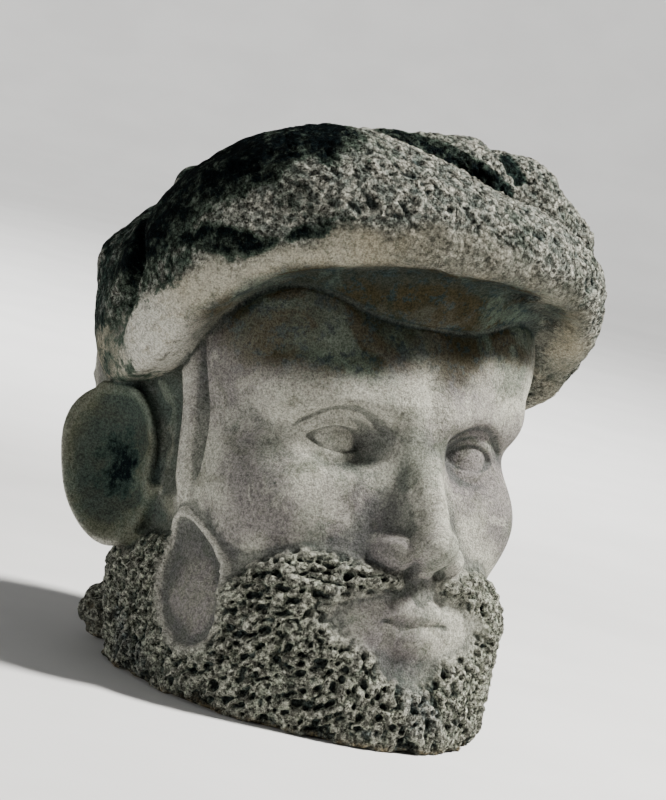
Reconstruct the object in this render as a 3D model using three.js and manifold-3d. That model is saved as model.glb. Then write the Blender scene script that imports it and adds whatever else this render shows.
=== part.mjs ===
// A carved stone head, over life size: a bearded man in a thick rolled and twisted cap. It was broken
// off below the beard and split away behind, and it is one piece of stone.
//
// The head is designed in the sizes of a life-size head, in millimetres: x runs to its own left, y to the
// back and z up, from a point between the eyes. The stone is OVER_LIFE times as large. It is turned about
// x by LEAN, so that the break below the beard is level, and stands on that break.
import * as THREE from 'three';
import { mergeVertices } from 'three/addons/utils/BufferGeometryUtils.js';
import Module from 'manifold-3d';

// Driving dimensions
const OVER_LIFE = 1.25;
const LEAN = THREE.MathUtils.degToRad(10.5);
const BREAK_POINT = [0, -105, -117.5];     // the lowest point of the beard, on the break
const BACK_AT = 52;                        // where the stone has split away behind
const ORIGIN_X = 1.32;                     // the middle of the stone, which is the part's origin
const ORIGIN_Y = -28.77;
const STONE = { color: 0x9a988a, roughness: 0.92, metalness: 0 };

// How finely the surface is cut: facets around and down
const HEAD_FACETS = [78, 48];
const CAP_FACETS = [58, 24];
const EAR_FACETS = [20, 13];
const REACH = 170;                         // farther than any of the stone is from any centre
const ROOM = 600;                          // a box larger than the stone

// Smooth joins. Each shape is a function of a point that is negative inside the stone.
const clamp = THREE.MathUtils.clamp;
const softMin = (a, b, soft) => {
  const near = Math.max(soft - Math.abs(a - b), 0) / soft;
  return Math.min(a, b) - near * near * soft * 0.25;
};
const softMax = (a, b, soft) => -softMin(-a, -b, soft);
const ease = (from, to, value) => {
  const t = clamp((value - from) / (to - from), 0, 1);
  return t * t * (3 - 2 * t);
};
const ridge = (value, centre, width) => Math.exp(-(((value - centre) / width) ** 2));

// A smooth curve through equally spaced values, here always in steps of some degrees
const through = (value, first, spacing, heights) => {
  const last = heights.length - 1;
  const t = clamp((value - first) / spacing, 0, last - 0.0001);
  const i = Math.floor(t);
  const f = t - i;
  const [a, b, c, d] = [i - 1, i, i + 1, i + 2].map((n) => heights[clamp(n, 0, last)]);
  return b + 0.5 * f * (c - a + f * (2 * a - 5 * b + 4 * c - d + f * (3 * (b - c) + d - a)));
};

const ellipsoid = ([x, y, z], [cx, cy, cz], [rx, ry, rz]) => {
  const [a, b, c] = [(x - cx) / rx, (y - cy) / ry, (z - cz) / rz];
  const size = Math.hypot(a, b, c);
  return (size * (size - 1)) / Math.max(Math.hypot(a / rx, b / ry, c / rz), 1e-9);
};

// A rod with round ends, from [x, y, z, radius] to [x, y, z, radius]
const rod = ([x, y, z], [ax, ay, az, ra], [bx, by, bz, rb]) => {
  const [dx, dy, dz] = [bx - ax, by - ay, bz - az];
  const length2 = dx * dx + dy * dy + dz * dz;
  const t = clamp(((x - ax) * dx + (y - ay) * dy + (z - az) * dz) / length2, 0, 1);
  return Math.hypot(x - ax - t * dx, y - ay - t * dy, z - az - t * dz) - (ra + (rb - ra) * t);
};
const bentRod = (p, points) => {
  let shape = rod(p, points[0], points[1]);
  for (let i = 1; i < points.length - 1; i += 1) {
    shape = softMin(shape, rod(p, points[i], points[i + 1]), 3);
  }
  return shape;
};

// Steps of the carving, done in order: what is added or cut away, and how softly it runs into the rest
const ball = (centre, radii) => (p) => ellipsoid(p, centre, radii);
const bar = (from, to) => (p) => rod(p, from, to);
const add = (form, soft) => (shape, p) => softMin(shape, form(p), soft);
const cut = (form, soft) => (shape, p) => softMax(shape, -form(p), soft);
const carve = (shape, p, steps) => steps.reduce((carved, step) => step(carved, p), shape);

// The face, by the proportions of a drawing book: eyes half way up the head and an eye's width apart,
// the nose as long as the ear, the mouth a third of the way from nose to chin
const FACE_MASSES = [
  add(ball([0, -33, -30], [69, 60, 60]), 20),           // cheeks
  add(ball([0, -42, -70], [54, 57, 46]), 18),           // jaw
  add(ball([43, -64, -25], [19, 15, 16]), 20),          // cheekbone
  add(ball([40, -52, 40], [30, 32, 34]), 20),           // corner of the forehead
  add(bar([8, -90, 13, 7], [50, -73, 15, 8]), 10),      // brow
  cut(ball([31, -99, -3], [19, 22, 11]), 8),            // eye socket
];
const EYE = { at: [31, -70.5, -2], ball: 13, upperLid: 15.2, lowerLid: 14.6, halfWidth: 15.5 };
const NOSE = [
  add(bar([0, -84, 10, 7.5], [0, -104, -27, 7]), 8),    // bridge
  add(ball([0, -108, -38], [9.5, 10.5, 8.5]), 6),       // tip
  add(ball([12.5, -98, -42.5], [6.2, 10.5, 7]), 4),     // wing
  add(bar([0, -107, -44, 4], [0, -98, -50, 4]), 3),     // between the nostrils
];
const MOUTH_AND_CHIN = [
  cut(ball([6.8, -102, -49.5], [3.2, 6.5, 3.4]), 1.5),  // nostril
  cut(bar([18.5, -97, -38, 0.8], [19.5, -93, -46, 1.2]), 3),
  add(ball([0, -74, -64], [34, 28, 29]), 12),           // the swell that carries the lips
  cut(bar([0, -104.5, -53, 2], [0, -106, -59, 3]), 3),
  add(bar([5, -101.5, -63.6, 4.4], [26, -90, -68.6, 2.2]), 3),
  add(ball([0, -101.5, -65], [5, 5, 3.6]), 3),
  add(bar([0, -99.6, -73.5, 5.6], [24, -89.5, -70.8, 2.4]), 3),
  cut(bar([0, -107.4, -68.8, 1.8], [13, -103, -68.3, 1.7]), 1.5),
  cut(bar([13, -103, -68.3, 1.7], [28, -91, -70.4, 2]), 1.5),
  add(ball([0, -85, -101], [26, 18, 16]), 10),          // chin
  cut(ball([0, -110, -84], [20, 11, 5.5]), 8),
];
const NECK = { radius: 50, back: 2, top: -30 };

// The two eyes and their lids. The lids' edges are arcs between the corners of the eye.
function addEyes(shape, p) {
  const [x, , z] = p;
  const across = (x - EYE.at[0]) / EYE.halfWidth;
  const arch = Math.max(1 - across * across, -0.6);
  const lid = (radius) => ellipsoid(p, EYE.at, [radius, radius, radius]);
  const upper = softMax(lid(EYE.upperLid), -3 + 6.4 * arch - z, 1);
  const lower = softMax(lid(EYE.lowerLid), z + 3.2 + 4 * arch, 1);
  const lids = softMin(softMin(shape, upper, 2.5), lower, 4);
  return Math.min(lids, lid(EYE.ball));
}

function face([x, y, z]) {
  const p = [Math.hypot(x, 1), y, z];                   // one half is designed, the other mirrors it
  let shape = carve(ellipsoid(p, [0, -3, 22], [77, 91, 80]), p, FACE_MASSES);
  shape = addEyes(shape, p);
  const nose = carve(rod(p, [0, -77, 4, 13], [0, -82, -38, 20]), p, NOSE);
  shape = carve(softMin(shape, nose, 6), p, MOUTH_AND_CHIN);
  const neck = Math.hypot(x, y - NECK.back) - NECK.radius;
  return softMin(shape, softMax(neck, z - NECK.top, 10), 8);
}

// The mass of the beard along the jaw: an upright body that narrows a little downwards
const BEARD = { middle: -33, halfWidth: 70, front: 66, back: 66, top: -54, relief: 3.5, lock: 2 };
function beardBlock([x, y, z]) {
  const low = clamp((BEARD.top - 2 - z) / 60, 0, 1);
  const front = y < BEARD.middle;
  const depth = front ? BEARD.front - 1.5 * low : BEARD.back;
  const square = front ? 2.35 - 0.45 * low : 3.5;
  const across = Math.abs(x) / (BEARD.halfWidth - 5 * low);
  const along = Math.abs(y - BEARD.middle) / depth;
  const sides = ((across ** square + along ** square) ** (1 / square) - 1) * 58;
  return softMax(sides, z - BEARD.top, 9 + 13 * ease(-12, -45, y));
}

// The flat drop at the end of the cap's strap, before the jaw: 1 on its rim, less inside it
const DROP = { y: -48, z: -62, lean: THREE.MathUtils.degToRad(19), halfWidth: 16, halfHeight: 27 };
function acrossDrop(y, z) {
  const [dy, dz] = [y - DROP.y, z - DROP.z];
  const u = dy * Math.cos(DROP.lean) - dz * Math.sin(DROP.lean);
  const v = dy * Math.sin(DROP.lean) + dz * Math.cos(DROP.lean);
  return Math.hypot(u / (DROP.halfWidth - 0.12 * v), v / DROP.halfHeight);
}

// The strap that comes down before the ear, the groove along it and the hollow behind it
function addStrap(shape, [x, y, z]) {
  const side = ease(48, 58, Math.abs(x));
  const along = side * ease(-34, -22, z) * (1 - ease(30, 45, z));
  const strap = 2.6 * ease(5, 2.4, Math.abs(y + 38));
  const groove = 3 * ridge(y, -44.5, 1.6) * ease(-28, -10, z);
  const hollow = 3.5 * ridge(y, -28, 6);
  const r = acrossDrop(y, z);
  const tab = 1.6 * ease(1.12, 0.98, r) + 1.4 * ridge(r, 0.98, 0.07) - 0.9 * ease(0.96, 0.86, r);
  return shape - along * (strap - groove - hollow) - ease(40, 52, Math.abs(x)) * tab;
}

// Where the beard grows, from 0 to 1: below a line over the cheeks, but not on the lips, the place
// below them, the groove below the nose and the drop. BEARD_LINE is in steps of 10 degrees from the front.
const BEARD_LINE = [-52, -50, -46, -46, -52, -62, -62, -48, -46, -44, -44, -44];
function beardCover([x, y, z]) {
  const X = Math.abs(x);
  const turn = THREE.MathUtils.radToDeg(Math.atan2(X, -(y + 10)));
  const below = 1 - ease(-3.5, 3.5, z - through(turn, 0, 10, BEARD_LINE));
  const lips = ease(0.95, 1.6, Math.hypot(X / 29, (z + 69) / 11));
  const belowLip = ease(0.7, 1.4, Math.hypot(X / 14, (z + 83) / 9));
  const belowNose = z > -62 ? ease(6, 12, X + Math.max(0, -58 - z) * 2) : 1;
  const drop = X > 45 ? ease(0.9, 1.15, acrossDrop(y, z)) : 1;
  return below * lips * belowLip * belowNose * drop;
}

// Short locks in rows, each row half a lock over from the next
const LOCK = { width: 13, height: 12, around: 72, slant: 0.35 };
function locks([x, y, z]) {
  const row = z / LOCK.height;
  const column = (Math.atan2(x, -(y + 10)) * LOCK.around) / LOCK.width + LOCK.slant * row;
  const shift = Math.floor(row) % 2 === 0 ? 0 : 0.5;
  const across = 0.5 + 0.5 * Math.cos(2 * Math.PI * (column + shift));
  return across * Math.sin(Math.PI * (row - Math.floor(row))) - 0.35;
}

// The ear: a curved plate with a fold along its upper front edge, a shallow dish, a deeper hole and a
// small flap before it. HELIX is the fold, in the plate's own frame: back, up, out and radius.
const EAR = { at: [80, -2, -21], facing: [0.5, 0.866], halfWidth: 21, halfHeight: 32, thick: 4, depth: 11 };
const HELIX = [[4, 29, 1, 3], [-10, 26, 3.5, 3.6], [-17, 13, 4, 3.4], [-17.5, 2, 2.5, 2.6]];
function ear([x, y, z]) {
  const [dx, dy, dz] = [Math.abs(x) - EAR.at[0], y - EAR.at[1], z - EAR.at[2]];
  const back = dx * EAR.facing[0] + dy * EAR.facing[1];
  const out = dx * EAR.facing[1] - dy * EAR.facing[0];
  const up = dz + 0.1 * back;
  const u = back + 0.006 * Math.max(0, -up - 4) ** 2;
  const width = EAR.halfWidth * (1 + (0.24 * up) / EAR.halfHeight);
  const size = (Math.abs(u / width) ** 2.3 + Math.abs(up / EAR.halfHeight) ** 2.3) ** (1 / 2.3);
  const edge = (size - 1) * 19;
  const w = out - 0.01 * (u + 6) ** 2 - 0.004 * up * up + 3;
  const dish = (Math.hypot((u + 0.5) / 18, (up - 1) / 27, (w - 9.5) / 9.5) - 1) * 9;
  const hole = (Math.hypot((u + 10) / 6.5, (up + 5) / 10, (w - 1) / 9) - 1) * 6;
  const flap = (Math.hypot((u + 18) / 5, (up + 4) / 9, (w - 1) / 5) - 1) * 5;
  let shape = softMin(softMax(edge, Math.abs(w) - EAR.thick, 5), bentRod([u, up, w], HELIX), 4);
  shape = softMin(shape, ellipsoid([Math.abs(x), y, z], [66, -3, -24], [12, 14, 23]), 4);
  shape = softMax(softMax(shape, -dish, 3), -hole, 2);
  return softMin(shape, flap, 3);
}

// The cap: a thick roll around a low crown. Its sizes change around the head, from front to back in
// steps of 15 degrees, and the top of the roll is given all the way round, from the back by the right.
const CAP = {
  middle: -15,
  outer: [106, 107, 109, 111, 110, 105, 98, 93, 89, 84, 80, 78, 77],
  bottom: [64, 64, 61, 54, 38, 19, 12, 12, 15, 20, 26, 30, 32],
  thick: [27, 28, 30, 31, 32, 30, 26, 23, 21, 22, 24, 26, 28],
  topRight: [72, 73, 76, 79, 81, 81, 83, 96, 107, 113.5, 115.5, 111],
  topFront: [105],
  topLeft: [100, 97, 93, 87, 80, 75, 72, 72, 72, 72, 72, 72],
  lift: 7,
};
const CAP_TOP = [...CAP.topRight, ...CAP.topFront, ...CAP.topLeft];

// The height of the roll's lower edge, which is a little higher on the head's left
const rimHeight = (turn) =>
  through(Math.abs(turn), 0, 15, CAP.bottom) + CAP.lift * ease(45, 80, turn) * ease(155, 120, turn);

// Strands twisted over the left of the crown, and the valleys beside them
const STRANDS = [
  [[-38, 22, 92, 14], [-26, -20, 98, 15], [0, -46, 107, 16], [32, -54, 109, 16], [60, -56, 104, 16],
    [82, -54, 88, 15], [92, -45, 68, 13]],
  [[30, 30, 88, 14], [52, 4, 94, 15], [72, -14, 88, 15], [86, -24, 72, 13]],
];
const VALLEYS = [
  [[-50, -46, 120, 4], [-21, -70, 115, 7], [-2, -77, 107, 9], [25, -76, 102, 8], [44, -75, 97, 4],
    [70, -71, 90, 2]],
  [[43, -54, 129, 3], [42, -69, 121, 5], [48, -77, 109, 5], [60, -80, 99, 3]],
  [[-10, 8, 122, 5], [28, -22, 120, 6], [62, -32, 112, 6], [88, -32, 92, 5], [102, -28, 64, 4]],
  [[-98, -14, 6, 4], [-101, -18, 29, 6], [-100, -27, 42, 6], [-96, -34, 56, 6], [-86, -22, 76, 7],
    [-70, -2, 92, 7], [-45, 22, 110, 6]],
  [[100, -10, 4, 5], [101, -12, 30, 6], [97, -18, 55, 7]],
];

function cap(p) {
  const [x, y, z] = p;
  const turn = THREE.MathUtils.radToDeg(Math.atan2(x, -(y - CAP.middle)));
  const from = Math.hypot(x, y - CAP.middle);
  const [outer, thick] = [CAP.outer, CAP.thick].map((sizes) => through(Math.abs(turn), 0, 15, sizes));
  const [bottom, top] = [rimHeight(turn), through(turn, -180, 15, CAP_TOP)];
  const low = bottom - 9;
  const [middle, half] = [(low + top) / 2, (top - low) / 2];
  const [a, b] = [(from - outer + thick) / thick, (z - middle) / half];
  const size = Math.hypot(a, b);
  const round = (size * (size - 1)) / Math.max(Math.hypot(a / thick, b / half), 1e-9);
  const underside = (bottom - z) * 0.9 - (from - outer + 12) * 0.1;
  let shape = softMin(softMax(round, underside, 5), ellipsoid(p, [0, -24, 66], [80, 76, 44]), 12);
  STRANDS.forEach((strand) => { shape = softMin(shape, bentRod(p, strand), 8); });
  VALLEYS.forEach((valley) => { shape = softMax(shape, -bentRod(p, valley), 6); });
  return shape;
}

// Stone is carved on for a little way below the break, and the break then cuts it off level
const BELOW_BREAK = 10;
const belowStone = ([, y, z]) =>
  (y - BREAK_POINT[1]) * Math.sin(LEAN) - (z - BREAK_POINT[2]) * Math.cos(LEAN) - BELOW_BREAK;

// The rough face where the stone has split away behind
const splitBehind = ([x, y, z]) =>
  y - BACK_AT - 1.6 * Math.sin(x / 13 + z / 31) - 1.4 * Math.sin(z / 11 - x / 27);

function headShape(p) {
  let shape = softMin(face(p), beardBlock(p), 10);
  shape = softMin(shape, ellipsoid(p, [-3, 47, -78], [51, 16, 15]), 6);   // stump of the neck
  shape = addStrap(shape, p);
  shape -= beardCover(p) * (BEARD.relief + BEARD.lock * locks(p));
  return Math.max(softMax(shape, splitBehind(p), 5), belowStone(p));
}
const capShape = (p) => softMax(cap(p), splitBehind(p), 5);

// A closed surface: a ball about a point inside, each vertex moved along its ray to where the stone
// ends. rayOf gives the ray from the turn about the ball's axis, -1 to 1, and the share of its rows.
function surface(shape, centre, [around, down], rayOf) {
  const geometry = new THREE.SphereGeometry(1, around, down);
  const position = geometry.attributes.position;
  for (let i = 0; i < position.count; i += 1) {
    const column = (i % (around + 1)) % around;
    const row = Math.floor(i / (around + 1));
    const pole = row === 0 || row === down;
    const ray = rayOf(pole ? -1 : (2 * column) / around - 1, row / down).normalize().toArray();
    const at = (t) => centre.map((c, axis) => c + t * ray[axis]);
    let outside = REACH;
    let inside = REACH - 1;
    while (inside > 0.5 && shape(at(inside)) > 0) {
      outside = inside;
      inside = outside - Math.max(0.4, 0.4 * shape(at(outside)));
    }
    inside = Math.max(inside, 0.5);
    for (let n = 0; n < 24; n += 1) {
      const half = (inside + outside) / 2;
      if (shape(at(half)) < 0) inside = half;
      else outside = half;
    }
    position.setXYZ(i, ...at(inside));
  }
  return geometry;
}

// A ray at a turn about the upright axis, 0 at the front, and a tilt down from the top, in half turns
const ray = (turn, tilt) => {
  const level = tilt === 0 || tilt === 1 ? 0 : Math.sin(tilt * Math.PI);
  return new THREE.Vector3(Math.sin(turn * Math.PI) * level, -Math.cos(turn * Math.PI) * level,
    Math.cos(tilt * Math.PI));
};

// Columns are closer at the front than behind. The head's rows are closest over the face and beard, and
// the cap's follow its lower edge all the way round.
const crowded = (turn, share) => turn * (share + (1 - share) * turn * turn);
const HEAD_CENTRE = [0, -20, -30];
const HEAD_ROWS = [0, 0.2, 0.3, 0.335, 0.365, 0.395, 0.435, 0.48, 0.53, 0.575, 0.61, 0.645, 0.68, 0.72,
  0.765, 0.82, 1];
const headRay = (turn, row) => ray(crowded(turn, 0.5), through(row, 0, 1 / 16, HEAD_ROWS));

const CAP_CENTRE = [0, -18, 62];
const EDGE_ROW = 0.72;
const EDGE_INSET = 13;
function capRay(turn, row) {
  const around = crowded(turn, 0.8);
  const outer = through(Math.abs(around) * 180, 0, 15, CAP.outer);
  const edge = Math.atan2(outer - EDGE_INSET, rimHeight(around * 180) - CAP_CENTRE[2]) / Math.PI;
  if (row <= EDGE_ROW) return ray(around, (edge * row) / EDGE_ROW);
  return ray(around, edge + ((1 - edge) * (row - EDGE_ROW)) / (1 - EDGE_ROW));
}

// The ear's ball is as flat as the ear, with its poles outside and inside
const EAR_CENTRE = [72.5, -0.5, -22];
const earRay = (side) => (turn, row) => {
  const { x: back, y: up, z: out } = ray(turn * side, row);
  const [a, b, c] = [back * EAR.halfWidth, up * EAR.halfHeight, out * EAR.depth];
  return new THREE.Vector3(side * (a * EAR.facing[0] + c * EAR.facing[1]),
    a * EAR.facing[1] - c * EAR.facing[0], b);
};

const wasm = await Module();
wasm.setup();
function solid(geometry) {
  geometry.deleteAttribute('normal');
  geometry.deleteAttribute('uv');
  const merged = mergeVertices(geometry, 1e-4);
  return new wasm.Manifold(new wasm.Mesh({
    numProp: 3,
    vertProperties: new Float32Array(merged.attributes.position.array),
    triVerts: new Uint32Array(merged.index.array),
  }));
}

// From the design's frame to the part's: turned, enlarged, and set down on the break
const breakHeight = -BREAK_POINT[1] * Math.sin(LEAN) + BREAK_POINT[2] * Math.cos(LEAN);
const toPart = new THREE.Matrix4()
  .makeScale(OVER_LIFE, OVER_LIFE, OVER_LIFE)
  .multiply(new THREE.Matrix4().makeTranslation(-ORIGIN_X, -ORIGIN_Y, -breakHeight))
  .multiply(new THREE.Matrix4().makeRotationX(-LEAN));

const mirrored = ([x, y, z]) => [-x, y, z];
const pieces = [
  surface(headShape, HEAD_CENTRE, HEAD_FACETS, headRay),
  surface(capShape, CAP_CENTRE, CAP_FACETS, capRay),
  surface(ear, EAR_CENTRE, EAR_FACETS, earRay(1)),
  surface(ear, mirrored(EAR_CENTRE), EAR_FACETS, earRay(-1)),
].map((geometry) => solid(geometry.applyMatrix4(toPart)));
const aboveBreak = new THREE.BoxGeometry(ROOM, ROOM, ROOM).translate(0, 0, ROOM / 2);
const stone = pieces.reduce((joined, piece) => joined.add(piece)).intersect(solid(aboveBreak));

function meshOf(name, body, look) {
  const { vertProperties, triVerts } = body.getMesh();
  const geometry = new THREE.BufferGeometry();
  geometry.setAttribute('position', new THREE.BufferAttribute(vertProperties, 3));
  geometry.setIndex(new THREE.BufferAttribute(triVerts, 1));
  geometry.computeVertexNormals();
  const mesh = new THREE.Mesh(geometry, new THREE.MeshStandardMaterial(look));
  mesh.name = name;
  return mesh;
}

const head = new THREE.Group();
head.add(meshOf('carved_head', stone, STONE));
export default head;
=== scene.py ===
"""A weathered stone head in a rolled cap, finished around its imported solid.

The stone starts as a merged copy of the solid. It is remeshed, its surface is drawn onto the same forms that
the solid was cut from, and then the fine relief is worked into it: the beard's drilled curls, the cap's
pitting, the break's chips and the roughness of the split behind. The forms are written in the design's
frame, the life-size head in millimetres: x to its own left, y to the back, z up from between the eyes.
"""
from math import cos, radians, sin

import bmesh
import bpy
import numpy as np
from mathutils import Matrix, Vector


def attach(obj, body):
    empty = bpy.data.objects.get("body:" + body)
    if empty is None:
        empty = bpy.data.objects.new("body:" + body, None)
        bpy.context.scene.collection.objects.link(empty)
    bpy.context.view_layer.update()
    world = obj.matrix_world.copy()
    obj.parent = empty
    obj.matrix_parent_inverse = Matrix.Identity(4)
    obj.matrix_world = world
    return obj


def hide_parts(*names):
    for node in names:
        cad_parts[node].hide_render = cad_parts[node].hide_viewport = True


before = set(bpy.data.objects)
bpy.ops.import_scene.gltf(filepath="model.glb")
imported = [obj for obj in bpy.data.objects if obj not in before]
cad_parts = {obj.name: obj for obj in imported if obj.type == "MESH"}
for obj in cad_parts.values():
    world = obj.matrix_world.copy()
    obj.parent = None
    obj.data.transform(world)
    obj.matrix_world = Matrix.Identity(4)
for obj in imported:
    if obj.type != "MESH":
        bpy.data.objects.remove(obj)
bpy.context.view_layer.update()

# From the design's frame to the part's: how much over life, the lean that levels the break, and the middle of
# the underside
OVER_LIFE = 1.25
LEAN = radians(10.5)
BREAK_POINT = (0, -105, -117.5)
BREAK_HEIGHT = -BREAK_POINT[1] * sin(LEAN) + BREAK_POINT[2] * cos(LEAN)
ORIGIN = np.array((1.32, -28.77, BREAK_HEIGHT))
TURN = np.array(((1, 0, 0), (0, cos(LEAN), sin(LEAN)), (0, -sin(LEAN), cos(LEAN))))
MILLIMETRE = OVER_LIFE / 1000

# The two rounds in which the surface is made, each with its fineness in metres, its number of moves and the
# most that a move may be in millimetres, and how many triangles the stone may have
ROUNDS = ((0.0022, 4, 2.5), (0.0009, 2, 1.0))
MOST_TRIANGLES = 190_000


def to_part(points):
    return (points @ TURN.T - ORIGIN) * MILLIMETRE


def to_design(points):
    return (points / MILLIMETRE + ORIGIN) @ TURN


# Smooth joins and the simple forms. Each is negative inside the stone.
def soft_min(a, b, soft):
    near = np.maximum(soft - np.abs(a - b), 0) / soft
    return np.minimum(a, b) - near * near * soft * 0.25


def soft_max(a, b, soft):
    return -soft_min(-a, -b, soft)


def ease(start, end, value):
    """0 at start and 1 at end, with a smooth change between. Start may be the larger of the two."""
    t = np.clip((value - start) / (end - start), 0, 1)
    return t * t * (3 - 2 * t)


def ridge(value, centre, width):
    return np.exp(-(((value - centre) / width) ** 2))


def through(value, first, spacing, heights):
    """A smooth curve through equally spaced values."""
    heights = np.asarray(heights, float)
    last = len(heights) - 1
    t = np.clip((value - first) / spacing, 0, last - 0.0001)
    i = np.floor(t).astype(int)
    f = t - i
    a, b, c, d = (heights[np.clip(i + n, 0, last)] for n in (-1, 0, 1, 2))
    return b + 0.5 * f * (c - a + f * (2 * a - 5 * b + 4 * c - d + f * (3 * (b - c) + d - a)))


def length(*sides):
    return np.sqrt(sum(side * side for side in sides))


def ball(p, centre, radii):
    """An egg-shaped ball, with distances that are true near its surface."""
    scaled = [(p[i] - centre[i]) / radii[i] for i in range(3)]
    size = length(*scaled)
    return size * (size - 1) / np.maximum(length(*(scaled[i] / radii[i] for i in range(3))), 1e-9)


def oval(p, centre, radii, radius):
    """A plainer egg-shaped ball, whose distances are those of a round one of the given radius."""
    return (length(*((p[i] - centre[i]) / radii[i] for i in range(3))) - 1) * radius


def rod(p, start, end):
    """A rod with round ends, from (x, y, z, radius) to (x, y, z, radius)."""
    way = [end[i] - start[i] for i in range(3)]
    t = sum((p[i] - start[i]) * way[i] for i in range(3)) / sum(side * side for side in way)
    t = np.clip(t, 0, 1)
    off = length(*(p[i] - start[i] - t * way[i] for i in range(3)))
    return off - (start[3] + (end[3] - start[3]) * t)


def bent_rod(p, points):
    shape = rod(p, points[0], points[1])
    for start, end in zip(points[1:-1], points[2:]):
        shape = soft_min(shape, rod(p, start, end), 3)
    return shape


def carve(shape, p, steps):
    """Adds or cuts the forms one after another."""
    for action, form, size, soft in steps:
        piece = ball(p, form, size) if len(form) == 3 else rod(p, form, size)
        shape = soft_min(shape, piece, soft) if action == "add" else soft_max(shape, -piece, soft)
    return shape


def mirrored(p):
    """The point on the head's left that a point on either side stands for."""
    return np.abs(p[0]), p[1], p[2]


# The face, by the proportions of a drawing book. Each row is what is done, a ball's centre and radii or a
# rod's two ends, and how softly it runs into the rest.
SKULL = ((0, -3, 22), (77, 91, 80))
NECK = {"y": 2, "radius": 50, "top": -30}
FACE_MASSES = (
    ("add", (0, -33, -30), (69, 60, 60), 20),
    ("add", (0, -42, -70), (54, 57, 46), 18),
    ("add", (43, -64, -25), (19, 15, 16), 20),
    ("add", (40, -52, 40), (30, 32, 34), 20),
    ("add", (8, -90, 13, 7), (50, -73, 15, 8), 10),
    ("cut", (31, -99, -3), (19, 22, 11), 8),
)
EYE = {
    "at": (31, -70.5, -2), "ball": 13, "upper_lid": 15.2, "lower_lid": 14.6, "half_width": 15.5,
    "upper_edge": -3, "upper_arch": 6.4, "lower_edge": 3.2, "lower_arch": 4,
    "fold": 3.4, "fold_depth": 1.3, "fold_width": 1.3,
}
NOSE_CORE = ((0, -77, 4, 13), (0, -82, -38, 20))
NOSE = (
    ("add", (0, -84, 10, 7.5), (0, -104, -27, 7), 8),
    ("add", (0, -108, -38), (9.5, 10.5, 8.5), 6),
    ("add", (12, -98.5, -42.8), (6.7, 10.5, 7), 5),
    ("add", (0, -107, -44, 4), (0, -98, -50, 4), 3),
)
MOUTH_AND_CHIN = (
    ("cut", (6.8, -102, -49.5), (3.2, 6.5, 3.4), 1.5),
    ("cut", (16.5, -92.5, -33, 1.0), (21.5, -88.5, -45.5, 1.6), 2.5),
    ("add", (0, -74, -64), (34, 28, 29), 12),
    ("cut", (0, -104.5, -53, 2), (0, -106, -59, 3), 3),
    ("add", (5, -101.7, -63.6, 4.5), (26, -90, -68.6, 2.2), 1.6),
    ("add", (0, -101.7, -65), (5, 5, 3.6), 2),
    ("add", (0, -99.9, -73.5, 5.7), (24, -89.5, -70.8, 2.4), 1.6),
    ("cut", (0, -107.2, -68.8, 2.4), (13, -102.8, -68.3, 2.2), 0.8),
    ("cut", (13, -102.8, -68.3, 2.2), (28, -90.8, -70.4, 2.3), 0.8),
    ("add", (0, -85, -101), (26, 18, 16), 10),
    ("cut", (0, -110, -84), (20, 11, 5.5), 8),
)


def add_eyes(shape, p):
    x, y, z = p
    across = (x - EYE["at"][0]) / EYE["half_width"]
    arch = np.maximum(1 - across * across, -0.6)
    eyeball, upper, lower = (ball(p, EYE["at"], (EYE[radius],) * 3)
                             for radius in ("ball", "upper_lid", "lower_lid"))
    upper = soft_max(upper, EYE["upper_edge"] + EYE["upper_arch"] * arch - z, 0.8)
    lower = soft_max(lower, z + EYE["lower_edge"] + EYE["lower_arch"] * arch, 0.8)
    shape = soft_min(soft_min(shape, upper, 2), lower, 3.5)
    shape = np.minimum(shape, eyeball)
    near = ease(1.25, 0.95, np.abs(across)) * ease(-58, -66, y)
    fold = ridge(z, EYE["fold"] + EYE["upper_arch"] * arch, EYE["fold_width"])
    return shape + EYE["fold_depth"] * near * fold


def face(p):
    x, y, z = p
    half = (length(x, 1), y, z)     # one half stands for both, rounded in the middle where they meet
    shape = carve(ball(half, *SKULL), half, FACE_MASSES)
    shape = add_eyes(shape, half)
    nose = carve(rod(half, *NOSE_CORE), half, NOSE)
    shape = carve(soft_min(shape, nose, 6), half, MOUTH_AND_CHIN)
    neck = length(x, y - NECK["y"]) - NECK["radius"]
    return soft_min(shape, soft_max(neck, z - NECK["top"], 10), 8)


# The beard's mass along the jaw, and where it grows: the height of its upper edge, in steps of 10 degrees
# about its axis, and the bare places in it
BEARD = {
    "middle": -33, "half_width": 70, "front": 66, "back": 66, "top": -54, "height": 60, "mean_radius": 58,
    "front_square": 2.35, "back_square": 3.5, "relief": 3.5, "axis": -10,
}
BEARD_LINE = (-52, -50, -46, -46, -52, -62, -62, -48, -46, -44, -44, -44)
LIPS = {"z": -69, "half_width": 29, "half_height": 11}
BELOW_LIP = {"z": -83, "half_width": 14, "half_height": 9}

# The strap before the ear, with a groove in front of it and a hollow behind, and the flat drop at its end
STRAP = {"y": -38, "height": 2.6, "groove": -44.5, "hollow": -28}
DROP = {"y": -48, "z": -62, "lean": radians(19), "half_width": 16, "half_height": 27}


def beard_block(p):
    x, y, z = p
    low = np.clip((BEARD["top"] - 2 - z) / BEARD["height"], 0, 1)
    front = y < BEARD["middle"]
    depth = np.where(front, BEARD["front"] - 1.5 * low, BEARD["back"])
    square = np.where(front, BEARD["front_square"] - 0.45 * low, BEARD["back_square"])
    across = np.abs(x) / (BEARD["half_width"] - 5 * low)
    along = np.abs(y - BEARD["middle"]) / depth
    sides = ((across ** square + along ** square) ** (1 / square) - 1) * BEARD["mean_radius"]
    return soft_max(sides, z - BEARD["top"], 9 + 13 * ease(-12, -45, y))


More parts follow.
